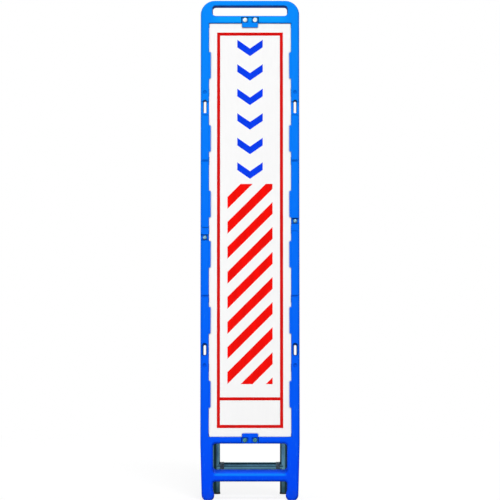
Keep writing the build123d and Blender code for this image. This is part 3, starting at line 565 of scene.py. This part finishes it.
def grained(name, dark, light, roughness, grain, specular):
    """Dark paint, plastic or rubber: a grain of that size, with paler dust or wear in patches."""
    surface = Surface(name, specular=specular)
    patches = surface.noise(PATCH_SIZE, detail=4.0)
    surface.set("Base Color", surface.blend(surface.between(patches, *PATCH_RANGE), dark, light))
    smoothest = roughness - PATCH_ROUGHNESS_SWING
    roughest = roughness + PATCH_ROUGHNESS_SWING
    surface.set("Roughness", surface.spread(patches, smoothest, roughest))
    surface.relief(surface.noise(grain), grain * GRAIN_DEPTH_SHARE, strength=0.5)
    return surface.material


looks = {
    "frame_plastic": blue_plastic(),
    "plate_white": sheet_white("plate_white_look", PLATE_WHITE, PLATE_ROUGHNESS),
    "film_white": sheet_white("film_white_look", FILM_WHITE, FILM_ROUGHNESS),
    "bright_screw": plated("bright_screw_look", SCREW_DARK, SCREW_LIGHT, roughness=0.30, metallic=0.7),
    "zinc_steel": plated("zinc_steel_look", ZINC_DARK, ZINC_LIGHT, roughness=0.36, metallic=1.0),
    "galvanised_tube": galvanised_tube("leg_tube_look", STREAK_ALONG_Z, "X", LEG_TUBE_WAVES),
    "dark_collar": grained(
        "dark_collar_look", COLLAR_DARK, COLLAR_LIGHT, roughness=0.48, grain=0.0012, specular=0.4
    ),
    "black_plastic": grained(
        "black_plastic_look", BLACK_PLASTIC, BLACK_PLASTIC_LIGHT, roughness=0.50, grain=0.0009, specular=0.4
    ),
    "black_rubber": grained(
        "black_rubber_look", RUBBER, RUBBER_DUSTY, roughness=0.78, grain=0.0014, specular=0.25
    ),
}
red_ink = ink("red_ink_look", INK_RED)
bright_red_ink = ink("bright_red_ink_look", INK_BRIGHT_RED)
blue_ink = ink("blue_ink_look", INK_BLUE)

# Nodes that look different from the rest of their slot
node_looks = {
    "cross_tube": galvanised_tube("cross_tube_look", STREAK_ALONG_X, "Z", CROSS_TUBE_WAVES),
    "hinge_bolts": plated("hinge_bolt_look", BOLT_DARK, BOLT_LIGHT, roughness=0.32, metallic=0.6),
    # Top and bottom clip screws are lit and shaded copies of one steel: painted highlight and painted shade
    "top_clip_screws": plated("top_screw_painted_highlight_look", SCREW_LIT_PALE, SCREW_LIT_WHITE, roughness=0.34, metallic=0.5),
    "bottom_clip_screws": plated("bottom_screw_painted_shade_look", SCREW_SHADED_DULL, SCREW_SHADED_GREEN, roughness=0.36, metallic=0.5),
}

for subpart in frame["record"]["subparts"]:
    look = node_looks.get(subpart["node"], looks[subpart["material_slot"]])
    for holder in frame["nodes"][subpart["node"]].material_slots:
        holder.material = look


# Print on the film


def new_piece(name, shape, material, body):
    """A mesh piece of the object, riding on a body."""
    mesh = bpy.data.meshes.new(name)
    shape.to_mesh(mesh)
    shape.free()
    mesh.materials.append(material)
    piece = bpy.data.objects.new(name, mesh)
    bpy.context.collection.objects.link(piece)
    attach(piece, body)
    return piece


def ink_layer(name, outlines, material):
    """A thin layer of ink on the film, from closed outlines of (x, height)."""
    shape = bmesh.new()
    for outline in outlines:
        shape.faces.new([shape.verts.new(on_film(x, height)) for x, height in outline])
    bmesh.ops.remove_doubles(shape, verts=shape.verts, dist=CORNER_MERGE)
    raised = bmesh.ops.extrude_face_region(shape, geom=shape.faces[:])["geom"]
    raised_corners = [item for item in raised if isinstance(item, bmesh.types.BMVert)]
    bmesh.ops.translate(shape, verts=raised_corners, vec=OUT * INK_THICKNESS)
    bmesh.ops.recalc_face_normals(shape, faces=shape.faces)
    piece = new_piece(name, shape, material, "frame")


def rectangle(left, bottom, right, top):
    return [(left, bottom), (right, bottom), (right, top), (left, top)]


def border_outlines():
    """Four mitred sides between an outer and an inner rectangle."""
    half = BORDER_WIDTH / 2
    line = BORDER_LINE
    outer = rectangle(-half, BORDER_BOTTOM, half, BORDER_TOP)
    inner = rectangle(-half + line, BORDER_BOTTOM + line, half - line, BORDER_TOP - line)
    following = [1, 2, 3, 0]
    return [[outer[i], outer[j], inner[j], inner[i]] for i, j in enumerate(following)]


def divider_outline():
    half = BORDER_WIDTH / 2 - BORDER_LINE
    return rectangle(-half, DIVIDER_BOTTOM, half, DIVIDER_BOTTOM + BORDER_LINE)


def chevron_outline(bottom):
    """A band of two arms that meet in a point at the bottom."""
    half = CHEVRON_WIDTH / 2
    return [
        (0.0, bottom),
        (half, bottom + CHEVRON_POINT),
        (half, bottom + CHEVRON_POINT + CHEVRON_STROKE),
        (0.0, bottom + CHEVRON_STROKE),
        (-half, bottom + CHEVRON_POINT + CHEVRON_STROKE),
        (-half, bottom + CHEVRON_POINT),
    ]


def cut_off(outline, limit, side):
    """The part of an outline below a height limit (side 1) or above it (side -1)."""
    kept = []
    for start, end in zip(outline, outline[1:] + outline[:1]):
        start_room = side * (limit - start[1])
        end_room = side * (limit - end[1])
        if start_room >= 0:
            kept.append(start)
        if start_room * end_room < 0:
            share = start_room / (start_room - end_room)
            kept.append((start[0] + share * (end[0] - start[0]), limit))
    return kept


def stripe_outlines():
    """Slanting stripes across a panel, cut off at its ends."""
    half = STRIPE_PANEL_WIDTH / 2
    top = STRIPE_PANEL_BOTTOM + STRIPES * STRIPE_STEP
    first = -ceil(STRIPE_PANEL_WIDTH / STRIPE_STEP)
    outlines = []
    for count in range(first, STRIPES):
        low = STRIPE_PANEL_BOTTOM + count * STRIPE_STEP
        high = low + STRIPE_PANEL_WIDTH
        band = [(-half, low), (half, high), (half, high + STRIPE_STROKE), (-half, low + STRIPE_STROKE)]
        band = cut_off(cut_off(band, top, 1), STRIPE_PANEL_BOTTOM, -1)
        if len(band) > 2:
            outlines.append(band)
    return outlines


ink_layer("print_border", border_outlines(), red_ink)
ink_layer("print_divider", [divider_outline()], red_ink)
chevrons = [chevron_outline(CHEVRONS_BOTTOM + count * CHEVRON_STEP) for count in range(CHEVRONS)]
ink_layer("print_chevrons", chevrons, blue_ink)
ink_layer("print_stripes", stripe_outlines(), bright_red_ink)


# Floor and background


def sees_background(tree):
    """1 for rays from the camera and from shiny or clear surfaces, 0 for the light on the object."""
    path = add_node(tree, "ShaderNodeLightPath").outputs
    shiny_or_clear = calculate(tree, "MAXIMUM", path["Is Glossy Ray"], path["Is Transmission Ray"])
    return calculate(tree, "MAXIMUM", path["Is Camera Ray"], shiny_or_clear)


def white_world():
    """White where it is seen, and a faint light on the object."""
    world = bpy.data.worlds.new("studio")
    bpy.context.scene.world = world
    world.use_nodes = True
    tree = world.node_tree
    background = tree.nodes["Background"]
    strength = add_node(
        tree, "ShaderNodeMapRange", Value=sees_background(tree), To_Min=AMBIENT, To_Max=1.0
    )
    feed(tree, background.inputs["Color"], WHITE)
    feed(tree, background.inputs["Strength"], strength.outputs["Result"])


def floor_far_share(tree):
    """Rises from 0 near the object to 1 further off."""
    place = add_node(tree, "ShaderNodeTexCoord").outputs["Object"]
    distance = tree.nodes.new("ShaderNodeVectorMath")
    distance.operation = "LENGTH"
    feed(tree, distance.inputs[0], place)
    fade = add_node(
        tree,
        "ShaderNodeMapRange",
        Value=distance.outputs["Value"],
        From_Min=FLOOR_FADE_START,
        From_Max=FLOOR_FADE_END,
    )
    fade.interpolation_type = "SMOOTHSTEP"
    return fade.outputs["Result"]


def floor_look():
    """A pale floor that keeps the object's shadow near it and is seen as plain white further off."""
    material = bpy.data.materials.new("floor_look")
    material.use_nodes = True
    tree = material.node_tree
    tree.nodes.clear()
    seen = sees_background(tree)
    matt = add_node(tree, "ShaderNodeBsdfDiffuse", Color=FLOOR_WHITE)
    glow = add_node(tree, "ShaderNodeEmission", Strength=calculate(tree, "MULTIPLY", seen, FLOOR_GLOW))
    lit = tree.nodes.new("ShaderNodeAddShader")
    feed(tree, lit.inputs[0], matt.outputs[0])
    feed(tree, lit.inputs[1], glow.outputs[0])
    plain = add_node(tree, "ShaderNodeEmission", Color=WHITE, Strength=1.0)
    far_share = calculate(tree, "MULTIPLY", floor_far_share(tree), seen)
    mixed = add_node(tree, "ShaderNodeMixShader", Fac=far_share)
    feed(tree, mixed.inputs[1], lit.outputs[0])
    feed(tree, mixed.inputs[2], plain.outputs[0])
    add_node(tree, "ShaderNodeOutputMaterial", Surface=mixed.outputs[0])
    return material


def white_floor():
    shape = bmesh.new()
    bmesh.ops.create_grid(shape, x_segments=1, y_segments=1, size=FLOOR_SIZE / 2)
    mesh = bpy.data.meshes.new("floor")
    shape.to_mesh(mesh)
    shape.free()
    mesh.materials.append(floor_look())
    floor = bpy.data.objects.new("floor", mesh)
    bpy.context.collection.objects.link(floor)


white_world()
white_floor()


# Lamps and camera


def soft_lamp(name, place, aim, size, power):
    """A square lamp that points at the aim."""
    lamp = bpy.data.lights.new(name, "AREA")
    lamp.size = size
    lamp.energy = power
    holder = bpy.data.objects.new(name, lamp)
    holder.location = place
    holder.rotation_euler = (Vector(aim) - Vector(place)).to_track_quat("-Z", "Y").to_euler()
    bpy.context.collection.objects.link(holder)


def add_camera():
    """A camera whose picture is the view height tall at the board's middle."""
    camera = bpy.data.objects.new("camera", bpy.data.cameras.new("camera"))
    bpy.context.collection.objects.link(camera)
    back = Vector((0.0, -cos(VIEW_RISE), sin(VIEW_RISE)))
    aim = BOARD_MIDDLE + Vector((0.0, 0.0, VIEW_LIFT))
    camera.location = aim + back * VIEW_DISTANCE
    camera.rotation_euler = (-back).to_track_quat("-Z", "Y").to_euler()
    camera.data.sensor_width = SENSOR
    camera.data.lens = SENSOR * VIEW_DISTANCE / VIEW_HEIGHT
    camera.data.clip_end = FLOOR_SIZE * 2
    bpy.context.scene.camera = camera


soft_lamp("key_lamp", KEY_PLACE, BOARD_MIDDLE, KEY_SIZE, KEY_POWER)
soft_lamp("fill_lamp", FILL_PLACE, FILL_AIM, FILL_SIZE, FILL_POWER)
soft_lamp("top_lamp", TOP_PLACE, BOARD_MIDDLE, TOP_SIZE, TOP_POWER)
soft_lamp("back_lamp", BACK_PLACE, BOARD_MIDDLE, BACK_SIZE, BACK_POWER)
add_camera()
bpy.context.scene.view_settings.view_transform = "Standard"
